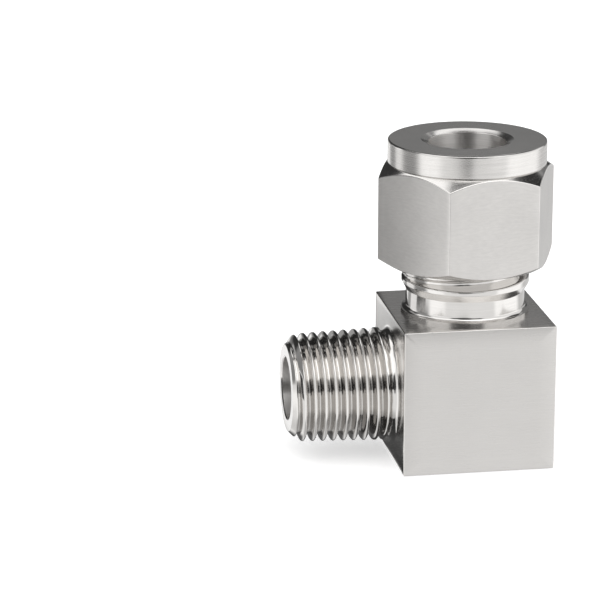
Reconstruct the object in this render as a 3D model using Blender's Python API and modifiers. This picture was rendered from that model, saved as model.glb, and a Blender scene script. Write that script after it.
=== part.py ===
"""Male elbow of a twin-ferrule tube fitting, in metres, with +Z up along the tube.

A square bar-stock block carries a round threaded neck on top and a tapered male pipe thread on its
left side. A compression nut sits on the neck, finger tight, with a front and a back ferrule inside.
The origin is the middle of the block's bottom face, straight under the tube's axis.
"""

import math

import bmesh
import bpy

MM = 0.001

# Tube and fits
TUBE_DIAMETER = 6.35 * MM
TUBE_CLEARANCE = 0.05 * MM
SEAT_GAP = 0.3 * MM
THREAD_FLANK_GAP = 0.15 * MM

# Square block
BLOCK_WIDTH = 13.34 * MM
BLOCK_HEIGHT = 12.87 * MM
BLOCK_EDGE_BREAK = 0.08 * MM

# Neck: a low boss, a plain relief, a cone up to the last thread, then the thread
NECK_DIAMETER = 10.39 * MM
NECK_RELIEF_LENGTH = 2.03 * MM
NECK_CONE_LENGTH = 0.68 * MM
NECK_THREAD_DIAMETER = 11.15 * MM
NECK_THREAD_LENGTH = 5.59 * MM
NECK_THREAD_PITCH = 1.27 * MM
NECK_THREAD_DEPTH = 0.78 * MM
NECK_GROOVE_START = 0.70 * MM
NECK_GROOVE_TURN = math.radians(210)
NECK_TIP_CHAMFER = 0.5 * MM
NECK_FILLET_RADIUS = 0.4 * MM
NECK_GROOVE_FADE = 0.7
BOSS_HEIGHT = 0.3 * MM

# Tapered male pipe thread
MALE_LENGTH = 9.18 * MM
MALE_END_DIAMETER = 9.42 * MM
MALE_FACE_DIAMETER = 7.62 * MM
MALE_CHAMFER_LENGTH = 1.05 * MM
MALE_TAPER = 1 / 16
MALE_PITCH = 0.907 * MM
MALE_THREAD_DEPTH = 0.72 * MM
MALE_GROOVE_START = 0.71 * MM
MALE_GROOVE_FADE = 0.75
MALE_BAND_DIAMETER = 9.4 * MM
MALE_BAND_LENGTH = 0.9 * MM
MALE_FILLET_RADIUS = 0.5 * MM
MALE_AXIS_HEIGHT = 6.4 * MM

# Bores in the block
SOCKET_DIAMETER = 6.5 * MM
SOCKET_FLOOR_HEIGHT = 10.6 * MM
TUBE_BORE_DIAMETER = 4.8 * MM
MALE_BORE_DIAMETER = 5.5 * MM
BORE_MOUTH_CHAMFER = 0.1 * MM
DRILL_HALF_ANGLE = math.radians(59)

# Ferrule seat at the neck's mouth, and the two ferrules
MOUTH_DIAMETER = 8.1 * MM
MOUTH_HALF_ANGLE = math.radians(20)
FERRULE_TIP_WALL = 0.2 * MM
FRONT_FERRULE_DIAMETER = 9.1 * MM
FRONT_CONE_RISE = 0.4 * MM
FRONT_COLLAR_LENGTH = 0.75 * MM
FRONT_CUP_DEPTH = 0.8 * MM
BACK_FERRULE_DIAMETER = 8.8 * MM
BACK_FLANGE_LENGTH = 0.65 * MM
BACK_TOP_WALL = 0.4 * MM

# Compression nut
NUT_ACROSS_FLATS = 14.0 * MM
NUT_TURN = math.radians(7.56)
NUT_STAND_OFF = 4.46 * MM
NUT_BORE_DIAMETER = 9.8 * MM
NUT_HOLE_DIAMETER = 6.75 * MM
NUT_HOLE_CHAMFER = 0.66 * MM
NUT_HOLE_CHAMFER_DEPTH = 0.25 * MM
NUT_LAND_LENGTH = 2.51 * MM
NUT_RELIEF_LENGTH = 0.9 * MM
NUT_FOOT_DIAMETER = 13.8 * MM
NUT_FOOT_ANGLE = math.radians(32)
NUT_SHOULDER_ANGLE = math.radians(36)
COLLAR_DIAMETER = 13.77 * MM
COLLAR_HEIGHT = 2.07 * MM
COLLAR_EDGE_BREAK = 0.06 * MM

# Thread forms: half flank angles, and crest widths as parts of a pitch
UNIFIED_FLANK = math.radians(30)
PIPE_FLANK = math.radians(27.5)
UNIFIED_CREST_SHARE = 1 / 8
PIPE_CREST_SHARE = 0.09
FLANK_OVERRUN = 0.03 * MM

# Places worked out from the sizes above
NECK_CONE_FOOT = BLOCK_HEIGHT + NECK_RELIEF_LENGTH
NECK_THREAD_FOOT = NECK_CONE_FOOT + NECK_CONE_LENGTH
NECK_TOP = NECK_THREAD_FOOT + NECK_THREAD_LENGTH
FERRULE_BORE = TUBE_DIAMETER / 2 + TUBE_CLEARANCE
FRONT_CONE_TOP = NECK_TOP + FRONT_CONE_RISE
BACK_FERRULE_RADIUS = BACK_FERRULE_DIAMETER / 2
NUT_FOOT = BLOCK_HEIGHT + NUT_STAND_OFF
NUT_THREAD_TOP = NECK_TOP + SEAT_GAP

# Fineness of round shapes
ROUND_STEPS = 48
ARC_STEPS = 5
MERGE = 0.00001
WELD = 0.002 * MM
REACH = 3.0 * MM

SHARP_ANGLE = math.radians(25)

# Steel, with each piece's roughness
STEEL_COLOUR = (0.62, 0.61, 0.59, 1.0)
BODY_ROUGHNESS = 0.28
FERRULE_ROUGHNESS = 0.2
NUT_ROUGHNESS = 0.3


def clear_scene():
    """Remove every object that the scene holds."""
    for item in list(bpy.data.objects):
        bpy.data.objects.remove(item, do_unlink=True)


def make_collection(name):
    """Add a collection to the scene."""
    group = bpy.data.collections.new(name)
    bpy.context.scene.collection.children.link(group)
    return group


def make_material(name, roughness):
    """Make one piece's steel, with its own roughness."""
    material = bpy.data.materials.new(name)
    material.use_nodes = True
    shader = material.node_tree.nodes["Principled BSDF"]
    shader.inputs["Base Color"].default_value = STEEL_COLOUR
    shader.inputs["Metallic"].default_value = 1.0
    shader.inputs["Roughness"].default_value = roughness
    return material


def as_cutter(item):
    """Mark an object as a guide that only the Boolean modifiers use."""
    item.hide_render = True
    item.display_type = "WIRE"
    return item


def turned(name, profile, group, ring=False):
    """Turn a profile of (radius, height) points about Z, listed from the top down its outer side.

    A ring's profile runs on up its inner side and closes on its first point.
    """
    mesh = bpy.data.meshes.new(name)
    points = [(radius, 0.0, height) for radius, height in profile]
    lines = [(index, index + 1) for index in range(len(points) - 1)]
    if ring:
        lines.append((len(points) - 1, 0))
    mesh.from_pydata(points, lines, [])
    item = bpy.data.objects.new(name, mesh)
    group.objects.link(item)
    lathe = item.modifiers.new("lathe", "SCREW")
    lathe.axis = "Z"
    lathe.steps = ROUND_STEPS
    lathe.render_steps = ROUND_STEPS
    lathe.use_merge_vertices = True
    lathe.merge_threshold = MERGE
    return item


def combine(item, other, operation):
    """Unite, cut or intersect one object with another, then weld the slivers that this leaves."""
    step = item.modifiers.new(other.name, "BOOLEAN")
    step.operation = operation
    step.solver = "EXACT"
    step.object = other
    weld = item.modifiers.new(other.name + "_weld", "WELD")
    weld.merge_threshold = WELD


def prism(name, radius, foot, top, sides, turn, group):
    """Make an upright prism with its corners on a circle, one of them at an angle from +X."""
    mesh = bpy.data.meshes.new(name)
    shape = bmesh.new()
    bmesh.ops.create_cone(
        shape, cap_ends=True, segments=sides, radius1=radius, radius2=radius, depth=top - foot
    )
    shape.to_mesh(mesh)
    shape.free()
    item = bpy.data.objects.new(name, mesh)
    item.location = (0.0, 0.0, (foot + top) / 2)
    item.rotation_euler = (0.0, 0.0, turn - math.pi / 2)
    group.objects.link(item)
    return item


def helical_groove(name, section, pitch, start, end, fade_turns, turn, group):
    """Sweep a closed section along a right-hand helix about Z, as the cutter for one thread.

    The groove starts at an angle from +X. section(height, lift) gives the section's (radius, offset along the axis) points at a height,
    lifted out of the metal by a share that falls from 1 to 0 over the first turns, as a tool runs in.
    """
    steps = math.ceil((end - start) / pitch * ROUND_STEPS)
    shape = bmesh.new()
    rings = []
    for step in range(steps + 1):
        turns = step / ROUND_STEPS
        angle = turn + math.tau * turns
        height = start + pitch * turns
        lift = max(0.0, 1.0 - turns / fade_turns) if fade_turns else 0.0
        ring = [
            shape.verts.new((radius * math.cos(angle), radius * math.sin(angle), height + offset))
            for radius, offset in section(height, lift)
        ]
        rings.append(ring)
    count = len(rings[0])
    for near, far in zip(rings, rings[1:]):
        for index in range(count):
            after = (index + 1) % count
            shape.faces.new((near[index], near[after], far[after], far[index]))
    shape.faces.new(rings[0])
    shape.faces.new(rings[-1])
    bmesh.ops.recalc_face_normals(shape, faces=shape.faces)
    mesh = bpy.data.meshes.new(name)
    shape.to_mesh(mesh)
    shape.free()
    item = bpy.data.objects.new(name, mesh)
    group.objects.link(item)
    return as_cutter(item)


def outside_section(crest, slope, depth, flank, pitch, crest_share):
    """Give the section of the groove that an outside thread is cut with."""
    half_crest_gap = pitch * (1 - crest_share) / 2
    half_root = half_crest_gap - depth * math.tan(flank)
    half_open = half_crest_gap + FLANK_OVERRUN * math.tan(flank)
    clear = depth / 2

    def section(height, lift):
        rise = slope * height + lift * (depth + FLANK_OVERRUN)
        return [
            (crest - depth + rise, -half_root),
            (crest - depth + rise, half_root),
            (crest + FLANK_OVERRUN + rise, half_open),
            (crest + clear + rise, half_open),
            (crest + clear + rise, -half_open),
            (crest + FLANK_OVERRUN + rise, -half_open),
        ]

    return section


def concave_fillet(wall, floor, radius):
    """Give the points of a quarter-round fillet from an upright wall out to a flat floor."""
    points = []
    for step in range(ARC_STEPS + 1):
        angle = step / ARC_STEPS * math.pi / 2
        across = wall + radius * (1 - math.cos(angle))
        points.append((across, floor + radius * (1 - math.sin(angle))))
    return points


def sunk_fillet(wall, floor, radius):
    """Give a fillet whose last chord runs straight on to below the floor, for a clean union."""
    points = concave_fillet(wall, floor, radius)[:-1]
    last_across, last_up = points[-1]
    before_across, before_up = points[-2]
    slope = (before_up - last_up) / (last_across - before_across)
    run = (last_up - floor + radius) / slope
    points.append((last_across + run, floor - radius))
    return points


def mouth_radius(height):
    """Give the radius of the conical ferrule seat at a height."""
    return MOUTH_DIAMETER / 2 + (height - NECK_TOP) * math.tan(MOUTH_HALF_ANGLE)


def neck_groove_height():
    """Give the height at which the neck's groove starts to run in."""
    return NECK_THREAD_FOOT + NECK_GROOVE_START


def nut_ridge_height():
    """Give the height at +X of a ridge between two turns of the neck's groove, below the nut."""
    groove = neck_groove_height() - NECK_THREAD_PITCH * NECK_GROOVE_TURN / math.tau
    return groove + NECK_THREAD_PITCH / 2


def make_neck(group):
    """Turn the neck and cut its thread."""
    neck = NECK_DIAMETER / 2
    crest = NECK_THREAD_DIAMETER / 2
    foot = BLOCK_HEIGHT - REACH
    fillet = concave_fillet(neck, BLOCK_HEIGHT + BOSS_HEIGHT, NECK_FILLET_RADIUS)
    profile = [
        (0.0, NECK_TOP),
        (crest - NECK_TIP_CHAMFER, NECK_TOP),
        (crest, NECK_TOP - NECK_TIP_CHAMFER),
        (crest, NECK_THREAD_FOOT),
        (neck, NECK_CONE_FOOT),
        *fillet,
        (fillet[-1][0], foot),
        (0.0, foot),
    ]
    item = as_cutter(turned("neck_blank", profile, group))
    section = outside_section(
        crest, 0.0, NECK_THREAD_DEPTH, UNIFIED_FLANK, NECK_THREAD_PITCH, UNIFIED_CREST_SHARE
    )
    end = NECK_TOP + NECK_THREAD_PITCH
    groove = helical_groove(
        "neck_groove",
        section,
        NECK_THREAD_PITCH,
        neck_groove_height(),
        end,
        NECK_GROOVE_FADE,
        NECK_GROOVE_TURN,
        group,
    )
    combine(item, groove, "DIFFERENCE")
    return item


def make_male_end(group):
    """Turn the tapered male end, cut its thread and lay it along -X from the block's left face."""
    slope = -MALE_TAPER / 2
    root_crest = MALE_END_DIAMETER / 2 - slope * MALE_LENGTH
    face = MALE_FACE_DIAMETER / 2
    band = MALE_BAND_DIAMETER / 2
    chamfer_foot = MALE_LENGTH - MALE_CHAMFER_LENGTH
    step_foot = MALE_BAND_LENGTH
    step_crest = root_crest + slope * step_foot
    fillet = sunk_fillet(band, 0.0, MALE_FILLET_RADIUS)
    profile = [
        (0.0, MALE_LENGTH),
        (face, MALE_LENGTH),
        (root_crest + slope * chamfer_foot, chamfer_foot),
        (step_crest, step_foot),
        (band, step_foot - (step_crest - band)),
        *fillet,
        (fillet[-1][0], -REACH),
        (0.0, -REACH),
    ]
    item = as_cutter(turned("male_blank", profile, group))
    section = outside_section(
        root_crest, slope, MALE_THREAD_DEPTH, PIPE_FLANK, MALE_PITCH, PIPE_CREST_SHARE
    )
    end = MALE_LENGTH + MALE_PITCH
    groove = helical_groove(
        "male_groove", section, MALE_PITCH, MALE_GROOVE_START, end, MALE_GROOVE_FADE, 0.0, group
    )
    combine(item, groove, "DIFFERENCE")
    for piece in (item, groove):
        piece.location = (-BLOCK_WIDTH / 2, 0.0, MALE_AXIS_HEIGHT)
        piece.rotation_euler = (0.0, -math.pi / 2, 0.0)
    return item


def make_tube_bore(group):
    """Turn the cutter for the ferrule seat, the tube's socket and the bore below it."""
    socket = SOCKET_DIAMETER / 2
    bore = TUBE_BORE_DIAMETER / 2
    above = NECK_TOP + REACH
    seat_foot = NECK_TOP - (MOUTH_DIAMETER / 2 - socket) / math.tan(MOUTH_HALF_ANGLE)
    bore_foot = MALE_AXIS_HEIGHT - MALE_BORE_DIAMETER / 2
    profile = [
        (0.0, above),
        (mouth_radius(above), above),
        (socket, seat_foot),
        (socket, SOCKET_FLOOR_HEIGHT),
        (bore, SOCKET_FLOOR_HEIGHT),
        (bore, bore_foot),
        (0.0, bore_foot - bore / math.tan(DRILL_HALF_ANGLE)),
    ]
    return as_cutter(turned("tube_bore", profile, group))


def make_male_bore(group):
    """Turn the cutter for the bore along the male end, which stops past the tube's axis."""
    bore = MALE_BORE_DIAMETER / 2
    mouth = MALE_LENGTH
    beyond = mouth + REACH
    foot = -(BLOCK_WIDTH + TUBE_BORE_DIAMETER) / 2
    profile = [
        (0.0, beyond),
        (bore + BORE_MOUTH_CHAMFER + REACH, beyond),
        (bore, mouth - BORE_MOUTH_CHAMFER),
        (bore, foot),
        (0.0, foot - bore / math.tan(DRILL_HALF_ANGLE)),
    ]
    item = as_cutter(turned("male_bore", profile, group))
    item.location = (-BLOCK_WIDTH / 2, 0.0, MALE_AXIS_HEIGHT)
    item.rotation_euler = (0.0, -math.pi / 2, 0.0)
    return item


def make_elbow_body(group, cutters):
    """Build the block with its neck, male end and bores as one piece of steel."""
    mesh = bpy.data.meshes.new("elbow_body")
    shape = bmesh.new()
    bmesh.ops.create_cube(shape, size=1.0)
    bmesh.ops.scale(shape, vec=(BLOCK_WIDTH, BLOCK_WIDTH, BLOCK_HEIGHT), verts=shape.verts)
    bmesh.ops.translate(shape, vec=(0.0, 0.0, BLOCK_HEIGHT / 2), verts=shape.verts)
    shape.to_mesh(mesh)
    shape.free()
    item = bpy.data.objects.new("elbow_body", mesh)
    group.objects.link(item)
    edge = item.modifiers.new("edge_break", "BEVEL")
    edge.width = BLOCK_EDGE_BREAK
    edge.segments = 1
    combine(item, make_neck(cutters), "UNION")
    combine(item, make_male_end(cutters), "UNION")
    combine(item, make_tube_bore(cutters), "DIFFERENCE")
    combine(item, make_male_bore(cutters), "DIFFERENCE")
    return item


def make_front_ferrule(group):
    """Turn the front ferrule, whose nose follows the seat and whose back is a cup."""
    radius = FRONT_FERRULE_DIAMETER / 2
    tangent = math.tan(MOUTH_HALF_ANGLE)
    seat_offset = SEAT_GAP / math.cos(MOUTH_HALF_ANGLE)
    tip = FERRULE_BORE + FERRULE_TIP_WALL
    cone_top = mouth_radius(FRONT_CONE_TOP) - seat_offset
    tip_height = FRONT_CONE_TOP - (cone_top - tip) / tangent
    flare_top = FRONT_CONE_TOP + radius - cone_top
    profile = [
        (FERRULE_BORE + front_cup_width(), front_ferrule_top()),
        (radius, front_ferrule_top()),
        (radius, flare_top),
        (cone_top, FRONT_CONE_TOP),
        (tip, tip_height),
        (FERRULE_BORE, tip_height),
        (FERRULE_BORE, front_ferrule_top() - FRONT_CUP_DEPTH),
    ]
    return turned("front_ferrule", profile, group, ring=True)


def front_ferrule_top():
    """Give the height of the front ferrule's back face."""
    seat_offset = SEAT_GAP / math.cos(MOUTH_HALF_ANGLE)
    cone_top = mouth_radius(FRONT_CONE_TOP) - seat_offset
    return FRONT_CONE_TOP + FRONT_FERRULE_DIAMETER / 2 - cone_top + FRONT_COLLAR_LENGTH


def front_cup_width():
    """Give the width of the front ferrule's cup, whose wall slopes at 45 degrees."""
    return FRONT_CUP_DEPTH


def back_flange_foot():
    """Give the height of the underside of the back ferrule's flange."""
    return front_ferrule_top() + SEAT_GAP


def make_back_ferrule(group):
    """Turn the back ferrule: a nose in the front one's cup, a flange and a cone under the nut."""
    radius = BACK_FERRULE_RADIUS
    tip = FERRULE_BORE + FERRULE_TIP_WALL
    foot = back_flange_foot()
    cup_at_foot = FERRULE_BORE + front_cup_width() + SEAT_GAP
    nose_top = cup_at_foot - SEAT_GAP * math.sqrt(2)
    flange_top = foot + BACK_FLANGE_LENGTH
    top_radius = FERRULE_BORE + BACK_TOP_WALL
    profile = [
        (FERRULE_BORE, flange_top + radius - top_radius),
        (top_radius, flange_top + radius - top_radius),
        (radius, flange_top),
        (radius, foot),
        (nose_top, foot),
        (tip, foot - (nose_top - tip)),
        (FERRULE_BORE, foot - (nose_top - tip)),
    ]
    return turned("back_ferrule", profile, group, ring=True)


def nut_shoulder_foot():
    """Give the height where the nut's bore meets the 45 degree shoulder over the back ferrule."""
    flange_top = back_flange_foot() + BACK_FLANGE_LENGTH
    return flange_top + BACK_FERRULE_RADIUS + SEAT_GAP * math.sqrt(2) - NUT_BORE_DIAMETER / 2


def nut_land_foot():
    """Give the height where the shoulder meets the tube's hole in the nut."""
    return nut_shoulder_foot() + (NUT_BORE_DIAMETER - NUT_HOLE_DIAMETER) / 2


def nut_top():
    """Give the height of the nut's top face."""
    return nut_land_foot() + NUT_LAND_LENGTH + NUT_HOLE_CHAMFER_DEPTH


def make_nut_envelope(group):
    """Turn the shape that rounds the nut: a collar, a chamfered shoulder and a chamfered foot."""
    top = nut_top()
    collar = COLLAR_DIAMETER / 2
    collar_foot = top - COLLAR_HEIGHT
    outside = NUT_ACROSS_FLATS / math.sqrt(3) + REACH
    foot = NUT_FOOT_DIAMETER / 2
    profile = [
        (0.0, top),
        (collar - COLLAR_EDGE_BREAK, top),
        (collar, top - COLLAR_EDGE_BREAK),
        (collar, collar_foot),
        (outside, collar_foot - (outside - collar) * math.tan(NUT_SHOULDER_ANGLE)),
        (outside, NUT_FOOT + (outside - foot) * math.tan(NUT_FOOT_ANGLE)),
        (foot, NUT_FOOT),
        (0.0, NUT_FOOT),
    ]
    return as_cutter(turned("nut_envelope", profile, group))


def make_nut_bore(group):
    """Turn the cutter for the nut's inside, from the chamfered hole down to its countersunk foot."""
    hole = NUT_HOLE_DIAMETER / 2
    bore = NUT_BORE_DIAMETER / 2
    minor = nut_minor_radius()
    relief = nut_major_radius() + SEAT_GAP / 2
    above = nut_top() + NUT_HOLE_CHAMFER_DEPTH
    relief_top = NUT_THREAD_TOP + NUT_RELIEF_LENGTH
    below = NUT_FOOT - REACH
    profile = [
        (0.0, above),
        (hole + 2 * NUT_HOLE_CHAMFER, above),
        (hole, nut_top() - NUT_HOLE_CHAMFER_DEPTH),
        (hole, nut_land_foot()),
        (bore, nut_shoulder_foot()),
        (bore, relief_top),
        (relief, relief_top),
        (relief, NUT_THREAD_TOP),
        (minor, NUT_THREAD_TOP - (relief - minor)),
        (minor, NUT_FOOT + relief - minor),
        (relief + REACH, below),
        (0.0, below),
    ]
    return as_cutter(turned("nut_bore", profile, group))


def nut_minor_radius():
    """Give the radius to the tips of the nut's thread."""
    return NECK_THREAD_DIAMETER / 2 - NECK_THREAD_DEPTH + SEAT_GAP + THREAD_FLANK_GAP / 2


def nut_major_radius():
    """Give the radius to the bottom of the nut's thread."""
    return NECK_THREAD_DIAMETER / 2 + SEAT_GAP


def make_nut_groove(group):
    """Sweep the cutter for the nut's thread, which stands off the neck's ridges all round."""
    crest = NECK_THREAD_DIAMETER / 2
    minor = nut_minor_radius()
    major = nut_major_radius()
    tangent = math.tan(UNIFIED_FLANK)
    half_crest = NECK_THREAD_PITCH * UNIFIED_CREST_SHARE / 2 + THREAD_FLANK_GAP / math.cos(UNIFIED_FLANK)
    half_root = half_crest - (major - crest) * tangent
    shoulder = minor - FLANK_OVERRUN
    half_open = half_crest + (crest - shoulder) * tangent
    inner = minor - NECK_THREAD_DEPTH / 2

    def section(height, lift):
        return [
            (major, half_root),
            (major, -half_root),
            (shoulder, -half_open),
            (inner, -half_open),
            (inner, half_open),
            (shoulder, half_open),
        ]

    end = NUT_THREAD_TOP + NUT_RELIEF_LENGTH / 3
    ridge = nut_ridge_height()
    return helical_groove("nut_groove", section, NECK_THREAD_PITCH, ridge, end, 0, 0.0, group)


def make_nut(group, cutters):
    """Build the compression nut: hexagon and collar in one piece, bored and threaded."""
    corner = NUT_ACROSS_FLATS / math.sqrt(3)
    item = prism("nut", corner, NUT_FOOT - REACH, nut_top() + REACH, 6, NUT_TURN, group)
    combine(item, make_nut_envelope(cutters), "INTERSECT")
    combine(item, make_nut_bore(cutters), "DIFFERENCE")
    combine(item, make_nut_groove(cutters), "DIFFERENCE")
    return item


def shade(item, roughness):
    """Apply an object's modifiers, shade its round faces smooth and give it its material."""
    bpy.context.view_layer.update()
    graph = bpy.context.evaluated_depsgraph_get()
    mesh = bpy.data.meshes.new_from_object(item.evaluated_get(graph))
    item.modifiers.clear()
    mesh.materials.clear()
    mesh.materials.append(make_material(item.name + "_steel", roughness))
    mesh.shade_smooth()
    mesh.set_sharp_from_angle(angle=SHARP_ANGLE)
    item.data = mesh


def main():
    """Build every piece of the elbow fitting."""
    clear_scene()
    parts = make_collection("male_elbow_fitting")
    cutters = make_collection("cutters")
    shade(make_elbow_body(parts, cutters), BODY_ROUGHNESS)
    shade(make_front_ferrule(parts), FERRULE_ROUGHNESS)
    shade(make_back_ferrule(parts), FERRULE_ROUGHNESS)
    shade(make_nut(parts, cutters), NUT_ROUGHNESS)


main()
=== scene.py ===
"""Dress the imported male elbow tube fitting: fine threads, soft edges, worked steel and a light tent."""

import logging
import math
from collections.abc import Callable, Sequence
from dataclasses import dataclass, field
from enum import Enum

import bmesh
import bpy
import numpy as np
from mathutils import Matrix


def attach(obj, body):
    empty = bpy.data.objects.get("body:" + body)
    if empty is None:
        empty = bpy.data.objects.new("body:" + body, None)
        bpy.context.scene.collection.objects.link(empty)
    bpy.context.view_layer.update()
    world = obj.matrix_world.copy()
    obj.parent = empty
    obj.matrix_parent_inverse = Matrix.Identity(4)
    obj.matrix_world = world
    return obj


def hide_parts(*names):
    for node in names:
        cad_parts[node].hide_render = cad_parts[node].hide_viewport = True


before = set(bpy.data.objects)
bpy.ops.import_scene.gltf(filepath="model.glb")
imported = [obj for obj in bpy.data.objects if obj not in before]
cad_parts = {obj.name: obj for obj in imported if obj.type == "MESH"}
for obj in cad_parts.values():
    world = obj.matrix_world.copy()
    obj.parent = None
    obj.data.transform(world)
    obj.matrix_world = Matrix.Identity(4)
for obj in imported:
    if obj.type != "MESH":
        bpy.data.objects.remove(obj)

Tree = bpy.types.NodeTree
Socket = bpy.types.NodeSocket

MM = 0.001
TURN = math.tau
SIDE_STEPS = 48
EDGE_STEPS = 3
WELD = 0.0002
SCRATCH_SHARE = 0.4
SCRATCH_ALONG, SCRATCH_ACROSS = 0.4, 3.1
CLOUD_SCALE = 0.35
SMOOTHEST = 0.03
ACROSS_GRAIN = 0.25
log = logging.getLogger("fitting")


class Pattern(Enum):
    """Where a finish reads its grain from."""

    SURFACE = "the surface's own map, U along the grain and V across it"
    ROUND_Z = "rings about the tube's axis"


@dataclass(frozen=True)
class SteelFinish:
    """One way that the bare stainless steel is worked.

    Lengths are in millimetres: streak_length along the grain and streak_width across it.
    """

    name: str
    colour: tuple[float, float, float] = (0.667, 0.652, 0.634)
    roughness: float = 0.25
    anisotropy: float = 0.6
    streak_length: float = 4.0
    streak_width: float = 0.12
    streak_contrast: float = 0.06
    roughness_spread: float = 0.06
    relief: float = 0.0006
    cloud_contrast: float = 0.03
    pattern: Pattern = Pattern.SURFACE

    def build(self) -> bpy.types.Material:
        """Build the finish as a node material.

        Returns:
            The material, with streaks in its colour, roughness and relief.
        """
        material = bpy.data.materials.new(self.name)
        material.use_nodes = True
        tree = material.node_tree
        shader = tree.nodes["Principled BSDF"]
        shader.inputs["Metallic"].default_value = 1.0
        shader.inputs["Anisotropic"].default_value = self.anisotropy
        shader.inputs["Anisotropic Rotation"].default_value = ACROSS_GRAIN
        place = self._place(tree)
        streaks = add_noise(tree, place, (1 / self.streak_length, 1 / self.streak_width, 1.0), 3.0, 0.6)
        fine = (SCRATCH_ALONG / self.streak_length, SCRATCH_ACROSS / self.streak_width, 1.0)
        scratches = add_noise(tree, place, fine, 2.0, 0.7)
        clouds = add_noise(tree, self._object_place(tree), (CLOUD_SCALE,) * 3, 2.0, 0.5)
        broad = add_math(tree, "MULTIPLY", streaks, 1 - SCRATCH_SHARE)
        mixed = add_math(tree, "MULTIPLY_ADD", scratches, SCRATCH_SHARE, broad)
        contrast = add_range(tree, mixed, 0.3, 0.7, 1 - self.streak_contrast, 1 + self.streak_contrast)
        cloud = add_range(tree, clouds, 0.3, 0.7, 1 - self.cloud_contrast, 1 + self.cloud_contrast)
        tone = tree.nodes.new("ShaderNodeVectorMath")
        tone.operation = "SCALE"
        tone.inputs[0].default_value = self.colour
        tree.links.new(add_math(tree, "MULTIPLY", contrast, cloud), tone.inputs["Scale"])
        tree.links.new(tone.outputs[0], shader.inputs["Base Color"])
        low = max(SMOOTHEST, self.roughness - self.roughness_spread)
        rough = add_range(tree, mixed, 0.25, 0.75, low, self.roughness + self.roughness_spread)
        tree.links.new(rough, shader.inputs["Roughness"])
        bump = tree.nodes.new("ShaderNodeBump")
        bump.inputs["Strength"].default_value = 1.0
        bump.inputs["Distance"].default_value = self.relief * MM
        tree.links.new(mixed, bump.inputs["Height"])
        tree.links.new(bump.outputs["Normal"], shader.inputs["Normal"])
        tangent = tree.nodes.new("ShaderNodeTangent")
        if self.pattern is Pattern.SURFACE:
            tangent.direction_type = "UV_MAP"
            tangent.uv_map = "grain"
        else:
            tangent.direction_type = "RADIAL"
            tangent.axis = "Z"
        tree.links.new(tangent.outputs[0], shader.inputs["Tangent"])
        return material

    def _place(self, tree: Tree) -> Socket:
        """Give the grain's own coordinates, in millimetres along and across it."""
        if self.pattern is Pattern.SURFACE:
            source = tree.nodes.new("ShaderNodeUVMap")
            source.uv_map = "grain"
            return source.outputs[0]
        parts = tree.nodes.new("ShaderNodeSeparateXYZ")
        tree.links.new(self._object_place(tree), parts.inputs[0])
        squares = add_math(tree, "MULTIPLY", parts.outputs[0], parts.outputs[0])
        squares = add_math(tree, "MULTIPLY_ADD", parts.outputs[1], parts.outputs[1], squares)
        across = add_math(tree, "ADD", add_math(tree, "SQRT", squares), parts.outputs[2])
        joined = tree.nodes.new("ShaderNodeCombineXYZ")
        tree.links.new(add_math(tree, "MULTIPLY", parts.outputs[0], 0.3), joined.inputs[0])
        tree.links.new(across, joined.inputs[1])
        return joined.outputs[0]

    def _object_place(self, tree: Tree) -> Socket:
        """Give the object's own coordinates, turned from metres into millimetres."""
        source = tree.nodes.new("ShaderNodeTexCoord")
        scale = tree.nodes.new("ShaderNodeVectorMath")
        scale.operation = "SCALE"
        scale.inputs["Scale"].default_value = 1 / MM
        tree.links.new(source.outputs["Object"], scale.inputs[0])
        return scale.outputs[0]


def new_item(name: str, data: bpy.types.ID) -> bpy.types.Object:
    """Make an object of some data and put it into the scene."""
    item = bpy.data.objects.new(name, data)
    bpy.context.scene.collection.objects.link(item)
    return item


def new_material(name: str) -> tuple[bpy.types.Material, Tree]:
    """Make a material and give it with its node tree, which holds only its output."""
    material = bpy.data.materials.new(name)
    material.use_nodes = True
    material.node_tree.nodes.remove(material.node_tree.nodes["Principled BSDF"])
    return material, material.node_tree


def add_math(tree: Tree, operation: str, *values: object) -> Socket:
    """Add one Math node.

    Args:
        tree: The node tree.
        operation: The node's operation.
        values: A socket or a number for each of its inputs.

    Returns:
        The node's result.
    """
    node = tree.nodes.new("ShaderNodeMath")
    node.operation = operation
    for value, target in zip(values, node.inputs):
        if isinstance(value, Socket):
            tree.links.new(value, target)
        else:
            target.default_value = value
    return node.outputs[0]


def add_range(
    tree: Tree,
    value: Socket,
    low: float,
    high: float,
    out_low: float,
    out_high: float,
    smooth: bool = False,
) -> Socket:
    """Add one Map Range node, clamped at both ends.

    Args:
        tree: The node tree.
        value: What is mapped.
        low: The value that gives out_low.
        high: The value that gives out_high.
        out_low: The result at and below low.
        out_high: The result at and above high.
        smooth: Whether the result eases in and out.

    Returns:
        The node's result.
    """
    node = tree.nodes.new("ShaderNodeMapRange")
    node.interpolation_type = "SMOOTHSTEP" if smooth else "LINEAR"
    tree.links.new(value, node.inputs[0])
    for index, number in enumerate((low, high, out_low, out_high), start=1):
        node.inputs[index].default_value = number
    return node.outputs[0]


def add_noise(
    tree: Tree,
    place: Socket,
    scale: tuple[float, float, float],
    detail: float,
    roughness: float,
) -> Socket:
    """Add a noise texture, stretched by a scale of its own on each axis.

    Args:
        tree: The node tree.
        place: The coordinates that the noise is read at.
        scale: Features per unit of each coordinate.
        detail: The noise's octaves.
        roughness: How much each octave adds.

    Returns:
        The noise's value.
    """
    mapping = tree.nodes.new("ShaderNodeMapping")
    mapping.inputs["Scale"].default_value = scale
    tree.links.new(place, mapping.inputs[0])
    noise = tree.nodes.new("ShaderNodeTexNoise")
    noise.inputs["Scale"].default_value = 1.0
    noise.inputs["Detail"].default_value = detail
    noise.inputs["Roughness"].default_value = roughness
    tree.links.new(mapping.outputs[0], noise.inputs["Vector"])
    return noise.outputs[0]


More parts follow.
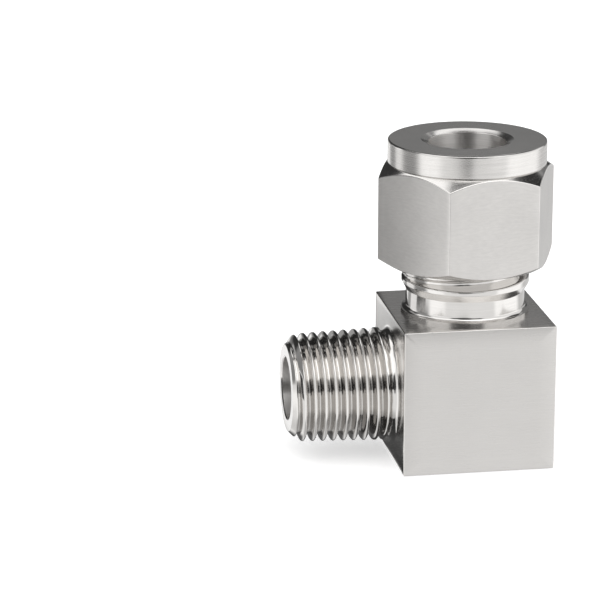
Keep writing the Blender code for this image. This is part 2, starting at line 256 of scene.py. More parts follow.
@dataclass
class Shell:
    """A closed skin put together from grids of points, in millimetres."""

    points: list[np.ndarray] = field(default_factory=list)
    maps: list[np.ndarray] = field(default_factory=list)
    faces: list[np.ndarray] = field(default_factory=list)
    finishes: list[np.ndarray] = field(default_factory=list)
    count: int = 0

    def add(self, grid: np.ndarray, grain: np.ndarray, finish: int) -> None:
        """Add one grid, whose quads join each point with the next in both directions.

        Args:
            grid: Points of shape (columns, rows, 3).
            grain: The map of shape (columns, rows, 2), U along the grain and V across it.
            finish: The place of its finish in the piece's list.
        """
        columns, rows = grid.shape[:2]
        index = np.arange(columns * rows).reshape(columns, rows) + self.count
        quads = np.stack((index[:-1, :-1], index[1:, :-1], index[1:, 1:], index[:-1, 1:]), axis=-1)
        self.points.append(grid.reshape(-1, 3))
        self.maps.append(grain.reshape(-1, 2))
        self.faces.append(quads.reshape(-1, 4))
        self.finishes.append(np.full((columns - 1) * (rows - 1), finish, dtype=np.int32))
        self.count += columns * rows

    def piece(self, name: str, finishes: Sequence[SteelFinish], sharp: float = 28.0) -> bpy.types.Object:
        """Make one object of the skin, with its seams welded and its faces turned outwards.

        Args:
            name: The piece's name.
            finishes: Its finishes, in the order that the grids name.
            sharp: The angle in degrees past which an edge stays sharp.

        Returns:
            The object.
        """
        points = np.concatenate(self.points) * MM
        maps = np.concatenate(self.maps)
        quads = np.concatenate(self.faces).astype(np.int32)
        mesh = bpy.data.meshes.new(name)
        mesh.vertices.add(len(points))
        mesh.vertices.foreach_set("co", points.astype(np.float32).ravel())
        mesh.loops.add(quads.size)
        mesh.loops.foreach_set("vertex_index", quads.ravel())
        mesh.polygons.add(len(quads))
        mesh.polygons.foreach_set("loop_start", np.arange(0, quads.size, 4, dtype=np.int32))
        mesh.polygons.foreach_set("material_index", np.concatenate(self.finishes))
        mesh.update(calc_edges=True)
        layer = mesh.uv_layers.new(name="grain")
        layer.data.foreach_set("uv", maps[quads.ravel()].astype(np.float32).ravel())
        shape = bmesh.new()
        shape.from_mesh(mesh)
        bmesh.ops.remove_doubles(shape, verts=shape.verts, dist=WELD * MM)
        bmesh.ops.dissolve_degenerate(shape, edges=shape.edges, dist=WELD * MM)
        bmesh.ops.recalc_face_normals(shape, faces=shape.faces)
        shape.to_mesh(mesh)
        open_edges = sum(1 for edge in shape.edges if len(edge.link_faces) != 2)
        shape.free()
        mesh.shade_smooth()
        mesh.set_sharp_from_angle(angle=math.radians(sharp))
        for finish in finishes:
            mesh.materials.append(finish.build())
        item = new_item(name, mesh)
        log.info("%s: %d faces, %d open edges", name, len(mesh.polygons), open_edges)
        return item


def soften(corners: object, cuts: Sequence[float], steps: int = 4) -> np.ndarray:
    """Round the inner corners of a profile.

    Each corner C becomes the curve (1-t)^2 A + 2t(1-t) C + t^2 B, where A and B lie a cut's length back
    and ahead of it on the profile's two straight sides.

    Args:
        corners: The profile's points, an array or nested tuples of shape (..., corners, 2).
        cuts: One length for each corner but the first and last.
        steps: How many chords a curve has.

    Returns:
        The rounded profile, of shape (..., points, 2).
    """
    corners = np.asarray(corners, dtype=float)
    here = corners[..., 1:-1, :]
    back = corners[..., :-2, :] - here
    ahead = corners[..., 2:, :] - here
    cut = np.asarray(cuts, dtype=float)[:, None]
    start = here + back / np.linalg.norm(back, axis=-1, keepdims=True) * cut
    stop = here + ahead / np.linalg.norm(ahead, axis=-1, keepdims=True) * cut
    share = np.linspace(0.0, 1.0, steps + 1)[:, None]
    curve = (
        (1 - share) ** 2 * start[..., None, :]
        + 2 * share * (1 - share) * here[..., None, :]
        + share**2 * stop[..., None, :]
    )
    middle = curve.reshape(*corners.shape[:-2], -1, 2)
    return np.concatenate((corners[..., :1, :], middle, corners[..., -1:, :]), axis=-2)


def quarter_fillet(wall: float, floor: float, radius: float, steps: int = 8) -> np.ndarray:
    """Give a concave quarter circle of (radius, height) points from a flat floor up to an upright wall."""
    angle = np.linspace(math.pi / 2, 0.0, steps + 1)
    across = wall + radius * (1 - np.cos(angle))
    return np.stack((across, floor + radius * (1 - np.sin(angle))), axis=-1)


def square_outline(steps: int) -> np.ndarray:
    """Give points anticlockwise along the square from -1 to 1, starting and ending at (1, -1)."""
    side = np.linspace(-1.0, 1.0, steps + 1)[:-1]
    one = np.ones_like(side)
    runs = ((one, side), (-side, one), (-one, -side), (side, -one))
    outline = np.concatenate([np.stack(run, axis=-1) for run in runs])
    return np.concatenate((outline, outline[:1]))


def widen(profile: np.ndarray, columns: int) -> np.ndarray:
    """Repeat one profile of (radius, height) points for each column."""
    return np.broadcast_to(profile, (columns, *profile.shape))


def turned_grid(angles: np.ndarray, profile: np.ndarray) -> tuple[np.ndarray, np.ndarray]:
    """Carry a profile round the local Z axis.

    A point is (radius cos angle, radius sin angle, height). U is the angle times a mean radius, and V is
    the length along the profile.

    Args:
        angles: One angle for each column, a whole turn with its end repeated.
        profile: (radius, height) points of shape (columns, rows, 2).

    Returns:
        The points and their map.
    """
    radius, height = profile[..., 0], profile[..., 1]
    across, up = radius * np.cos(angles)[:, None], radius * np.sin(angles)[:, None]
    grid = np.stack((across, up, height), axis=-1)
    steps = np.linalg.norm(np.diff(profile, axis=1), axis=-1).mean(axis=0)
    along = np.concatenate(([0.0], np.cumsum(steps)))
    mean = float(radius.mean())
    grain = np.stack(np.broadcast_arrays(angles[:, None] * mean, along), axis=-1)
    return grid, grain


def unwrap(outline: np.ndarray) -> np.ndarray:
    """Give the angle of each outline point about the origin, rising by one turn from first to last."""
    angles = np.unwrap(np.arctan2(outline[:, 1], outline[:, 0]))
    angles[-1] = angles[0] + TURN
    return angles


@dataclass(frozen=True)
class ThreadForm:
    """A right-hand thread, in millimetres, cut as one groove along a helix.

    half_flank is in degrees, and turn, the angle where the groove starts, is in radians. start is the
    groove's middle there, slope is the taper, and crest_share is the flat crest's share of the pitch.
    """

    pitch: float
    depth: float
    half_flank: float
    crest_share: float
    start: float
    fade_turns: float
    crest: float
    slope: float = 0.0
    turn: float = 0.0
    crest_soft: float = 0.12
    root_soft: float = 0.02
    rows_a_turn: int = 24

    def outside(self, angle: np.ndarray, height: np.ndarray, blank: np.ndarray) -> np.ndarray:
        """Give the radius of the threaded surface.

        The groove nearest to a height has its middle at start + pitch * turns, counted from the angle
        where it starts. Its wall's radius is the root plus the distance past the flat root over the
        flank's tangent, and the root is lifted out of the metal over the first turns. The surface is the
        smaller of this and the plain blank, less s^2 k / 4 near the edge, with k the softness and s the
        share 1 - |wall - blank| / k, which rounds the crest.

        Args:
            angle: Angles about the axis.
            height: Heights along it.
            blank: The plain blank's radius there.

        Returns:
            The radius at each point.
        """
        share = np.mod(angle - self.turn, TURN) / TURN
        turns = share + np.round((height - self.start) / self.pitch - share)
        middle = self.start + self.pitch * turns
        lift = np.clip(1 - turns / self.fade_turns, 0.0, 1.0)
        tangent = math.tan(math.radians(self.half_flank))
        half_root = self.pitch * (1 - self.crest_share) / 2 - self.depth * tangent
        past = np.abs(height - middle) - half_root
        wall = (past + np.sqrt(past**2 + self.root_soft**2)) / 2 / tangent
        root = self.crest + self.slope * middle - self.depth + lift * (self.depth + self.crest_soft)
        groove = root + wall
        near = np.maximum(0.0, 1 - np.abs(groove - blank) / self.crest_soft)
        return np.minimum(groove, blank) - near**2 * self.crest_soft / 4

    def rows(self, angles: np.ndarray, low: float, high: float) -> np.ndarray:
        """Give heights whose rows follow the helix, held between two flat ends.

        The height is a lattice step plus pitch * angle / turn, cut off at low and high.
        """
        lead = self.pitch * angles / TURN
        step = self.pitch / self.rows_a_turn
        first, last = math.floor((low - lead.max()) / step), math.ceil((high - lead.min()) / step)
        lattice = step * np.arange(first, last + 1)
        return np.clip(lattice[None, :] + lead[:, None], low, high)


@dataclass
class BlockSizes:
    """The square block, in millimetres."""

    width: float = 13.34
    height: float = 12.87
    edge: float = 0.1


@dataclass
class NeckSizes:
    """The round neck over the block, in millimetres."""

    radius: float = 5.195
    boss_height: float = 0.3
    fillet: float = 0.4
    cone_foot: float = 14.9
    thread_foot: float = 15.58
    top: float = 21.17
    crest: float = 5.575
    thread_lead_in: float = 0.12
    tip_chamfer: float = 0.5
    mouth: float = 4.05
    mouth_angle: float = 20.0
    socket: float = 3.25
    socket_floor: float = 10.6
    bore: float = 2.4
    lip: float = 0.1
    outside_round: float = 0.05
    inside_round: float = 0.04


@dataclass
class MaleSizes:
    """The tapered male end, in millimetres, with heights out from the block's left face."""

    length: float = 9.18
    end_radius: float = 4.71
    taper: float = 1 / 32
    face_radius: float = 3.81
    chamfer: float = 0.9
    band_radius: float = 4.7
    band_length: float = 0.9
    fillet: float = 0.5
    bore: float = 2.75
    mouth_chamfer: float = 0.1
    face_ring: float = 0.35
    crest_gain: float = 0.02
    axis_height: float = 6.4
    drill_angle: float = 59.0
    crossing: float = 2.55
    crossing_turn: float = math.radians(75)


class Elbow:
    """The one-piece steel body: block, threaded neck, tapered male end and bores."""

    TOP, SIDE, FRONT, TURNED, THREAD, BORE = range(6)

    def __init__(self, finishes: Sequence[SteelFinish]) -> None:
        """Keep the sizes, the thread forms and the finishes."""
        self.block = BlockSizes()
        self.neck = NeckSizes()
        self.male = MaleSizes()
        self.finishes = finishes
        self.root = self.male.end_radius + self.male.taper * self.male.length
        self.neck_thread = ThreadForm(
            pitch=1.27, depth=0.78, half_flank=30.0, crest_share=1 / 8, start=16.0683,
            fade_turns=0.3, crest=self.neck.crest, turn=math.radians(150),
        )
        self.male_thread = ThreadForm(
            pitch=0.907, depth=0.74, half_flank=22.0, crest_share=0.22, start=0.71, fade_turns=0.75,
            crest=self.root + self.male.crest_gain, slope=-self.male.taper, crest_soft=0.3,
        )

    def build(self) -> bpy.types.Object:
        """Build the whole body as one closed piece."""
        shell = Shell()
        outline = square_outline(SIDE_STEPS)
        self._add_box(shell, outline)
        self._add_neck(shell, outline)
        self._add_male_end(shell, outline)
        self._add_male_bore(shell, outline)
        return shell.piece("machined_elbow", self.finishes)

    def _male_place(self, grid: np.ndarray) -> np.ndarray:
        """Lay local points (up, back, out) along -X from the block's left face."""
        out = -self.block.width / 2 - grid[..., 2]
        return np.stack((out, grid[..., 1], self.male.axis_height + grid[..., 0]), axis=-1)

    def _add_male(self, shell: Shell, angles: np.ndarray, profile: np.ndarray, finish: int) -> None:
        """Carry a profile round the male end's axis and add it."""
        grid, grain = turned_grid(angles, profile)
        shell.add(self._male_place(grid), grain, finish)

    def _male_rectangle(self, outline: np.ndarray) -> np.ndarray:
        """Give the left face's flat outline as local (up, back) points about the male end's axis."""
        block, male = self.block, self.male
        middle = block.height / 2 - male.axis_height
        half_up, half_back = block.height / 2 - block.edge, block.width / 2 - block.edge
        return outline * (half_up, half_back) + (middle, 0.0)

    def _add_box(self, shell: Shell, outline: np.ndarray) -> None:
        """Add the block's flat faces, its rounded edges and its corners.

        A face is a ruled surface from a ring, or from its middle, out to its outline. An edge is a
        quarter circle carried along the edge, and a corner is an eighth of a ball.
        """
        block, edge = self.block, self.block.edge
        half = np.array((block.width / 2, block.width / 2, block.height / 2))
        centre = np.array((0.0, 0.0, block.height / 2))
        flat = half - edge
        for axis in range(3):
            first, second = (axis + 1) % 3, (axis + 2) % 3
            for side in (-1.0, 1.0):
                rim = np.zeros((len(outline), 3))
                rim[:, axis] = side * half[axis]
                rim[:, first] = outline[:, 0] * flat[first]
                rim[:, second] = outline[:, 1] * flat[second]
                inner = np.zeros_like(rim)
                inner[:, axis] = side * half[axis]
                if (axis, side) == (2, 1.0):
                    turn = unwrap(outline)
                    radius = self.neck.radius + self.neck.fillet
                    inner[:, :2] = radius * np.stack((np.cos(turn), np.sin(turn)), axis=-1)
                if (axis, side) == (0, -1.0):
                    rectangle = self._male_rectangle(outline)
                    turn = unwrap(rectangle)
                    radius = self.male.band_radius + self.male.fillet
                    ring = radius * np.stack((np.cos(turn), np.sin(turn), np.zeros_like(turn)), axis=-1)
                    wall = np.stack((rectangle[:, 0], rectangle[:, 1], np.zeros_like(turn)), axis=-1)
                    inner, rim = self._male_place(ring) - centre, self._male_place(wall) - centre
                share = np.linspace(0.0, 1.0, 5)[None, :, None]
                grid = inner[:, None, :] * (1 - share) + rim[:, None, :] * share + centre
                along, across = ((1, 2), (0, 2), (0, 1))[axis]
                grain = np.stack((grid[..., along], grid[..., across]), axis=-1)
                shell.add(grid, grain, (self.SIDE, self.FRONT, self.TOP)[axis])
        angle = np.linspace(0.0, math.pi / 2, EDGE_STEPS + 1)
        run = np.linspace(-1.0, 1.0, SIDE_STEPS + 1)
        for axis in range(3):
            first, second = (axis + 1) % 3, (axis + 2) % 3
            for one in (-1.0, 1.0):
                for two in (-1.0, 1.0):
                    grid = np.zeros((len(run), len(angle), 3))
                    grid[..., axis] = run[:, None] * flat[axis]
                    grid[..., first] = one * (flat[first] + edge * np.cos(angle))
                    grid[..., second] = two * (flat[second] + edge * np.sin(angle))
                    bend = np.broadcast_to(angle * edge, grid.shape[:2])
                    grain = np.stack((grid[..., axis], bend), axis=-1)
                    shell.add(grid + centre, grain, self.FRONT)
        self._add_corners(shell, flat, centre, angle)

    def _add_corners(self, shell: Shell, flat: np.ndarray, centre: np.ndarray, angle: np.ndarray) -> None:
        """Add eight corners: centre + edge (cos b cos a, cos b sin a, sin b), a and b up to 90 degrees."""
        edge = self.block.edge
        a, b = np.meshgrid(angle, angle, indexing="ij")
        ball = edge * np.stack((np.cos(b) * np.cos(a), np.cos(b) * np.sin(a), np.sin(b)), axis=-1)
        grain = np.stack((a, b), axis=-1) * edge
        ends = (-1.0, 1.0)
        for signs in np.stack(np.meshgrid(ends, ends, ends), axis=-1).reshape(-1, 3):
            shell.add((flat + ball) * signs + centre, grain, self.FRONT)

    def _add_neck(self, shell: Shell, outline: np.ndarray) -> None:
        """Add the neck's outside from the boss to the tip, then its seat, socket and bore."""
        neck, block, male = self.neck, self.block, self.male
        angles = unwrap(outline)
        columns = len(angles)
        foot = block.height + neck.boss_height
        low = neck.thread_foot + neck.thread_lead_in
        fillet = quarter_fillet(neck.radius, foot, neck.fillet)
        boss_radius = neck.radius + neck.fillet
        boss = np.array(((boss_radius, block.height), (boss_radius, foot)))
        cone_top = (neck.crest, neck.thread_foot)
        cone = (fillet[-1], (neck.radius, neck.cone_foot), cone_top, (neck.crest, low))
        plain = soften(cone, (neck.outside_round,) * 2)
        outside = np.concatenate((boss, fillet[1:], plain[1:]))
        shell.add(*turned_grid(angles, widen(outside, columns)), self.TURNED)
        height = self.neck_thread.rows(angles, low, neck.top)
        blank = np.minimum(neck.crest, neck.crest - (height - (neck.top - neck.tip_chamfer)))
        radius = self.neck_thread.outside(angles[:, None], height, blank)
        radius[:, 0] = neck.crest
        thread = np.stack((radius, height), axis=-1)
        shell.add(*turned_grid(angles, thread), self.THREAD)
        seat_foot = neck.top - (neck.mouth - neck.socket) / math.tan(math.radians(neck.mouth_angle))
        hollow = (
            (neck.mouth + neck.lip, neck.top),
            (neck.mouth, neck.top),
            (neck.socket, seat_foot),
            (neck.socket, neck.socket_floor),
            (neck.bore, neck.socket_floor),
            (neck.bore, neck.socket_floor - neck.lip),
        )
        inside = soften(hollow, (neck.inside_round,) * 4)
        rim = thread[:, -1:, :]
        depth = male.axis_height + np.sqrt(male.bore**2 - (neck.bore * np.sin(angles)) ** 2)
        crown = np.stack((np.full(columns, neck.bore), depth), axis=-1)[:, None, :]
        well = np.concatenate((rim, widen(inside, columns), crown), axis=1)
        shell.add(*turned_grid(angles, well), self.BORE)

    def _blank(self, height: np.ndarray) -> np.ndarray:
        """Give the male end's plain radius: band, 45 degree step, taper and end chamfer."""
        male = self.male
        taper = self.root - male.taper * height
        step_crest = self.root - male.taper * male.band_length
        step = male.band_radius + np.maximum(0.0, height - male.band_length + step_crest - male.band_radius)
        chamfer_foot = male.length - male.chamfer
        fall = (self.root - male.taper * chamfer_foot - male.face_radius) / male.chamfer
        chamfer = male.face_radius + (male.length - height) * fall
        return np.minimum(np.minimum(step, taper), chamfer)

    def _add_male_end(self, shell: Shell, outline: np.ndarray) -> None:
        """Add the male end's outside: fillet, plain band, tapered thread and end chamfer."""
        male = self.male
        angles = unwrap(self._male_rectangle(outline))
        columns = len(angles)
        fillet = quarter_fillet(male.band_radius, 0.0, male.fillet)
        self._add_male(shell, angles, widen(fillet, columns), self.TURNED)
        height = self.male_thread.rows(angles, male.fillet, male.length)
        radius = self.male_thread.outside(angles[:, None], height, self._blank(height))
        radius[height <= male.fillet] = male.band_radius
        thread = np.stack((radius, height), axis=-1)
        self._add_male(shell, angles, thread, self.THREAD)
        rim = thread[:, -1:, :]
        mouth = male.bore + male.mouth_chamfer
        lip = np.array(((mouth + male.face_ring, male.length), (mouth, male.length)))
        self._add_male(shell, angles, np.concatenate((rim, widen(lip, columns)), axis=1), self.TURNED)
        throat = np.array(((mouth, male.length), (male.bore, male.length - male.mouth_chamfer)))
        self._add_male(shell, angles, widen(throat, columns), self.TURNED)

    def _bore_grid(self, turns: np.ndarray, heights: np.ndarray) -> tuple[np.ndarray, np.ndarray]:
        """Give points on the male bore's wall: (bore cos turn, bore sin turn, height), laid along -X."""
        turn, height = np.broadcast_arrays(turns, heights)
        bore = self.male.bore
        grid = np.stack((bore * np.cos(turn), bore * np.sin(turn), height), axis=-1)
        return self._male_place(grid), np.stack((turn * bore, height), axis=-1)

    def _add_male_bore(self, shell: Shell, outline: np.ndarray) -> None:
        """Add the male bore's wall, with the opening where the tube's bore comes in from above.

        The wall is unrolled to (turn, height). Round the opening it is ruled from the curve where the two
        bores meet, turn = asin(tube bore sin a / male bore), height = middle - tube bore cos a, out to a
        rectangle, and the rest is plain grids that share the rectangle's points.
        """
        male, neck = self.male, self.neck
        middle = -self.block.width / 2
        angles = unwrap(outline)
        curve_turn = np.arcsin(neck.bore * np.sin(angles) / male.bore)
        curve_height = middle - neck.bore * np.cos(angles)
        frame_turn = male.crossing_turn * outline[:, 1]
        frame_height = middle - male.crossing * outline[:, 0]
        share = np.linspace(0.0, 1.0, 6)[None, :]
        turns = curve_turn[:, None] * (1 - share) + frame_turn[:, None] * share
        heights = curve_height[:, None] * (1 - share) + frame_height[:, None] * share
        shell.add(*self._bore_grid(turns, heights), self.BORE)
        run = np.linspace(-1.0, 1.0, SIDE_STEPS + 1)
        near = male.crossing_turn * run
        far = np.linspace(male.crossing_turn, TURN - male.crossing_turn, 3 * SIDE_STEPS + 1)
        shell.add(*self._bore_grid(far[:, None], middle - male.crossing * run[None, :]), self.BORE)
        round_turns = np.concatenate((near, far[1:]))
        mouth = np.linspace(male.length - male.mouth_chamfer, middle + male.crossing, 12)[None, :]
        mouth_turns = unwrap(self._male_rectangle(outline))[:, None]
        share = np.linspace(0.0, 1.0, 12)[None, :]
        blend = mouth_turns * (1 - share) + round_turns[:, None] * share
        shell.add(*self._bore_grid(blend, mouth), self.BORE)
        tip = middle - male.crossing - male.bore / math.tan(math.radians(male.drill_angle))
        end = np.array(((male.bore, middle - male.crossing), (0.0, tip)))
        self._add_male(shell, round_turns, widen(end, len(round_turns)), self.BORE)


@dataclass
class NutSizes:
    """The compression nut, in millimetres."""

    apothem: float = 7.0
    corner: float = 0.12
    turn: float = math.radians(7.56)
    foot: float = 17.33
    foot_radius: float = 6.9
    foot_angle: float = 32.0
    shoulder_angle: float = 36.0
    collar: float = 6.885
    collar_height: float = 2.07
    top_margin: float = 0.2
    shoulder_margin: float = 0.075
    shoulder_edge: float = 0.08
    undercut: float = 0.07
    undercut_height: float = 0.13
    top: float = 28.153
    hole: float = 3.375
    hole_chamfer: float = 0.66
    hole_chamfer_depth: float = 0.25
    lip_edge: float = 0.05
    land: float = 2.51
    bore: float = 4.9
    thread_top: float = 21.47
    relief_length: float = 0.9
    relief: float = 6.025
    major: float = 5.875
    minor: float = 5.17
    pitch: float = 1.27
    ridge: float = 16.1742
    half_root: float = 0.0794
    rim_round: float = 0.19
    shoulder_round: float = 0.07
    lip_round: float = 0.04
    foot_round: float = 0.03
    undercut_round: float = 0.02


class Nut:
    """The compression nut: hexagon and collar in one piece, with its thread inside."""

    FLAT, COLLAR, TOP, INSIDE, SHOULDER = range(5)

    def __init__(self, finishes: Sequence[SteelFinish]) -> None:
        """Keep the sizes and the finishes."""
        self.size = NutSizes()
        self.finishes = finishes

    def _columns(self) -> tuple[np.ndarray, np.ndarray]:
        """Give each column's angle and the hexagon's radius there.

        On a flat the radius is apothem / cos(a), with a the angle from the flat's middle. At a corner it
        is D cos(b) + sqrt(corner^2 - D^2 sin(b)^2), with b the angle from the corner and D the distance of
        the rounding's centre.
        """
        size = self.size
        reach = (size.apothem - size.corner) * math.tan(math.pi / 6)
        tangent = math.atan(reach / size.apothem)
        flat = np.linspace(-tangent, tangent, 25)
        bend = np.linspace(tangent, math.pi / 3 - tangent, 7)[1:-1]
        one = np.concatenate((flat, bend))
        centre = (size.apothem - size.corner) / math.cos(math.pi / 6)
        off = np.abs(bend - math.pi / 6)
        rounding = centre * np.cos(off) + np.sqrt(size.corner**2 - (centre * np.sin(off)) ** 2)
        radius = np.concatenate((size.apothem / np.cos(flat), rounding))
        start = size.turn + math.pi / 6
        angles = np.concatenate([one + start + index * math.pi / 3 for index in range(6)])
        radii = np.tile(radius, 6)
        return np.append(angles, angles[0] + TURN), np.append(radii, radii[0])

    def build(self) -> bpy.types.Object:
        """Build the nut as one closed piece."""
        size = self.size
        shell = Shell()
        angles, hexagon = self._columns()
        columns = len(angles)
        collar_foot = size.top - size.collar_height
        shoulder = collar_foot - (hexagon - size.collar) * math.tan(math.radians(size.shoulder_angle))
        foot = size.foot + (hexagon - size.foot_radius) * math.tan(math.radians(size.foot_angle))
        lip_foot = size.top - size.hole_chamfer_depth
        land_foot = lip_foot - size.land
        shoulder_foot = land_foot - (size.bore - size.hole)
        relief_top = size.thread_top + size.relief_length
        thread_low = size.foot + size.relief - size.minor
        thread_high = size.thread_top - (size.relief - size.minor)

        def column(radius: object, height: object) -> np.ndarray:
            """Give one profile point for every column."""
            shape = (columns,)
            return np.stack((np.broadcast_to(radius, shape), np.broadcast_to(height, shape)), axis=-1)

        def add(corners: Sequence[np.ndarray], cuts: Sequence[float], finish: int) -> None:
            """Add one softened run of the profile."""
            shell.add(*turned_grid(angles, soften(np.stack(corners, axis=1), cuts)), finish)

        ring = size.collar - size.top_margin
        waist = (collar_foot + size.top) / 2
        undercut_floor = collar_foot + size.undercut * math.tan(math.radians(size.shoulder_angle))
        ledge = hexagon - size.shoulder_margin
        ledge_height = shoulder + size.shoulder_margin * math.tan(math.radians(size.shoulder_angle))
        middle = (shoulder + foot) / 2
        skirt, skirt_height = (hexagon + size.foot_radius) / 2, (foot + size.foot) / 2
        under = (size.foot_radius + size.relief) / 2
        throat = column(size.hole, lip_foot - size.lip_edge)
        lip = (column(size.hole, lip_foot), column(size.hole + size.hole_chamfer, size.top))
        add((column(size.hole, land_foot), throat), (), self.INSIDE)
        add((throat, *lip, column(ring, size.top)), (size.lip_round,) * 2, self.TOP)
        brim = column(size.collar, size.top - size.top_margin)
        rim = (column(ring, size.top), column(size.collar, size.top), brim)
        add(rim, (size.rim_round,), self.SHOULDER)
        add((brim, column(size.collar, waist)), (), self.COLLAR)
        undercut = (
            column(size.collar, collar_foot + size.undercut_height),
            column(size.collar - size.undercut, undercut_floor),
        )
        add((column(size.collar, waist), *undercut), (size.undercut_round,), self.COLLAR)
        add((undercut[1], column(ledge, ledge_height)), (), self.SHOULDER)
        edge = column(hexagon, shoulder - size.shoulder_edge)
        brow = (column(ledge, ledge_height), column(hexagon, shoulder), edge)
        add(brow, (size.shoulder_round,), self.SHOULDER)
        add((edge, column(hexagon, middle)), (), self.FLAT)
        flat = (column(hexagon, middle), column(hexagon, foot), column(skirt, skirt_height))
        add(flat, (size.foot_round,), self.FLAT)
        toe = (column(skirt, skirt_height), column(size.foot_radius, size.foot), column(under, size.foot))
        add(toe, (size.foot_round,), self.COLLAR)
        mouth = (column(under, size.foot), column(size.relief, size.foot), column(size.minor, thread_low))
        add(mouth, (size.lip_round,), self.INSIDE)
        form = ThreadForm(
            pitch=size.pitch, depth=size.major - size.minor, half_flank=30.0, crest_share=0.0,
            start=size.ridge, fade_turns=1.0, crest=size.major,
        )
        height = form.rows(angles, thread_low, thread_high)
        phase = (height - size.ridge) / size.pitch - angles[:, None] / TURN
        off = np.abs(phase - np.round(phase)) * size.pitch
        tangent = math.tan(math.radians(form.half_flank))
        wall = size.major - np.maximum(0.0, off - size.half_root) / tangent
        thread = np.stack((np.maximum(size.minor, wall), height), axis=-1)
        shell.add(*turned_grid(angles, thread), self.INSIDE)
        bottom = np.stack((column(size.minor, thread_low), thread[:, 0, :]), axis=1)
        shell.add(*turned_grid(angles, bottom), self.INSIDE)
        inside = (
            thread[:, -1, :],
            column(size.relief, size.thread_top),
            column(size.relief, relief_top),
            column(size.bore, relief_top),
            column(size.bore, shoulder_foot),
            column(size.hole, land_foot),
        )
        shell.add(*turned_grid(angles, np.stack(inside, axis=1)), self.INSIDE)
        return shell.piece("machined_nut", self.finishes)


@dataclass(frozen=True)
class Panel:
    """One wall of the light tent, as an area of the sky with one level.

    Angles are in degrees: azimuth from +X towards +Y, and low and high above the horizon.
    """

    azimuth: float
    half_width: float
    low: float
    high: float
    level: float
    soft: float = 4.0


@dataclass(frozen=True)
class Card:
    """A grey glowing card that only the steel reflects, in millimetres, painting a reflection that nothing
    in the scene casts.

    It reaches from its corner along two of the three axes. Its two levels are those at the start and the
    end of the second edge, and it fades out over a soft share of each edge.
    """

    name: str
    corner: tuple[float, float, float]
    reach: tuple[float, float, float]
    levels: tuple[float, float]
    soft: tuple[float, float]

    def stand(self) -> None:
        """Stand the card up, unseen by the camera and without a shadow."""
        first, second = np.flatnonzero(self.reach)
        grid = np.tile(self.corner, (2, 2, 1))
        grid[1, :, first] += self.reach[first]
        grid[:, 1, second] += self.reach[second]
        mesh = bpy.data.meshes.new(self.name)
        mesh.from_pydata((grid * MM).reshape(-1, 3).tolist(), [], [(0, 2, 3, 1)])
        layer = mesh.uv_layers.new(name="level")
        layer.data.foreach_set("uv", np.array(((0, 0), (1, 0), (1, 1), (0, 1)), dtype=np.float32).ravel())
        item = new_item(self.name, mesh)
        material, tree = new_material(self.name)
        place = tree.nodes.new("ShaderNodeUVMap")
        place.uv_map = "level"
        parts = tree.nodes.new("ShaderNodeSeparateXYZ")
        tree.links.new(place.outputs[0], parts.inputs[0])
        glow = tree.nodes.new("ShaderNodeEmission")
        tree.links.new(add_range(tree, parts.outputs[1], 0.0, 1.0, *self.levels), glow.inputs["Strength"])
        masks = [
            add_range(tree, parts.outputs[axis], *ends, True)
            for axis, soft in enumerate(self.soft)
            for ends in ((0.0, soft, 0.0, 1.0), (1 - soft, 1.0, 1.0, 0.0))
        ]
        mask = masks[0]
        for other in masks[1:]:
            mask = add_math(tree, "MULTIPLY", mask, other)
        mix = tree.nodes.new("ShaderNodeMixShader")
        tree.links.new(mask, mix.inputs[0])
        tree.links.new(tree.nodes.new("ShaderNodeBsdfTransparent").outputs[0], mix.inputs[1])
        tree.links.new(glow.outputs[0], mix.inputs[2])
        tree.links.new(mix.outputs[0], tree.nodes["Material Output"].inputs["Surface"])
        mesh.materials.append(material)
        item.visible_camera = False
        item.visible_diffuse = False
        item.visible_shadow = False


@dataclass(frozen=True)
class CameraFit:
    """The camera as fitted to the photograph: place in metres, angles in degrees, lens in millimetres."""

    place: tuple[float, float, float] = (-0.05258536, -0.23150792, 0.08285865)
    down: float = 16.28215
    right: float = 9.31392
    lens: float = 169.137
    sensor: float = 36.0
    near: float = 0.01
    far: float = 20.0


@dataclass(frozen=True)
class FloorSizes:
    """The floor, in metres: half its side, and how far it lies under the object."""

    reach: float = 3.0
    drop: float = 0.0001
    colour: tuple[float, float, float, float] = (0.8, 0.8, 0.8, 1.0)
    glow: float = 0.55


